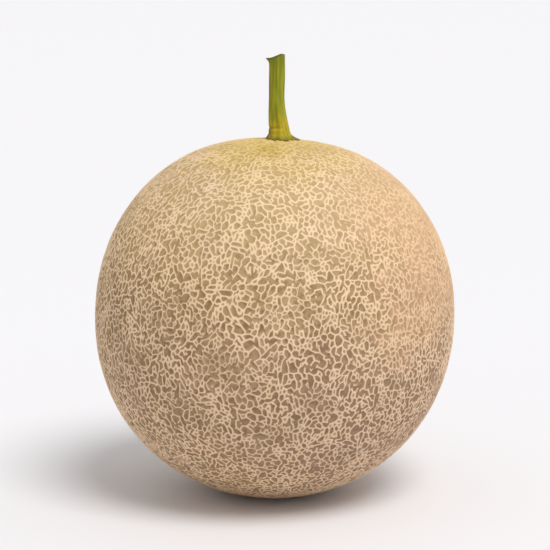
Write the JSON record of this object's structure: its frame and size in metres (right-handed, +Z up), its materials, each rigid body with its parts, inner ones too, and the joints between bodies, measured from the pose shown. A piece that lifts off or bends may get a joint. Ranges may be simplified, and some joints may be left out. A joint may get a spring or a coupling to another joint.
{
  "type": "cantaloupe melon",
  "caption": "Whole ripe melon, nearly round with a flattened stem end, skin covered by a raised corky net, a short cut stalk standing on top.",
  "frame": {"origin": "on the surface that the melon rests on, under the middle of the fruit's outline seen from above", "axes": "+Z up, from the blossom end to the stalk; +X the way the fruit leans; -Y the side that is shown first"},
  "size_m": [0.1504, 0.1496, 0.1838],
  "materials": {
    "netted_rind": "dry cream cork net raised over a matte tan skin, yellower round the stalk",
    "green_stalk": "olive green, ribbed, faintly waxy, brown at the foot and dry at the cut"
  },
  "bodies": {
    "root": {"fruit": "netted_rind", "stalk": "green_stalk"}
  },
  "joints": []
}
